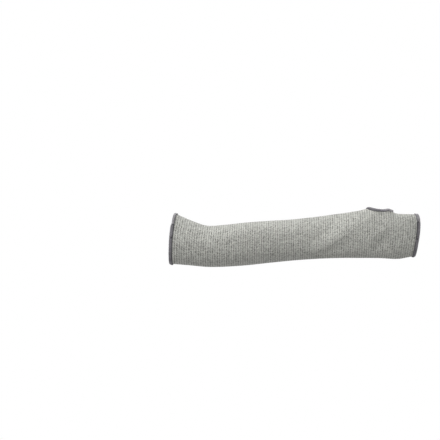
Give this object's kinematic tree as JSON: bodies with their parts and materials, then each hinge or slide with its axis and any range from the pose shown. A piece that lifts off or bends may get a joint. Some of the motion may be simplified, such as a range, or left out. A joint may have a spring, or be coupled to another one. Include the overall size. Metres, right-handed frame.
{
  "type": "cut resistant sleeve",
  "caption": "Knitted protective sleeve for forearm and elbow, with a thumb slot and overlocked edges, shown in its worn form.",
  "frame": {"origin": "centre of the upper-arm opening", "axes": "+X along the sleeve towards the hand opening, +Z towards the thumb slot"},
  "size_m": [0.4655, 0.0914, 0.1112],
  "materials": {
    "knit": "grey and pale marl plain knit",
    "overlock": "dark grey overlock thread"
  },
  "bodies": {
    "root": {"knit_sleeve": "knit", "arm_edge": "overlock", "hand_edge": "overlock", "thumb_edge": "overlock"}
  },
  "joints": []
}
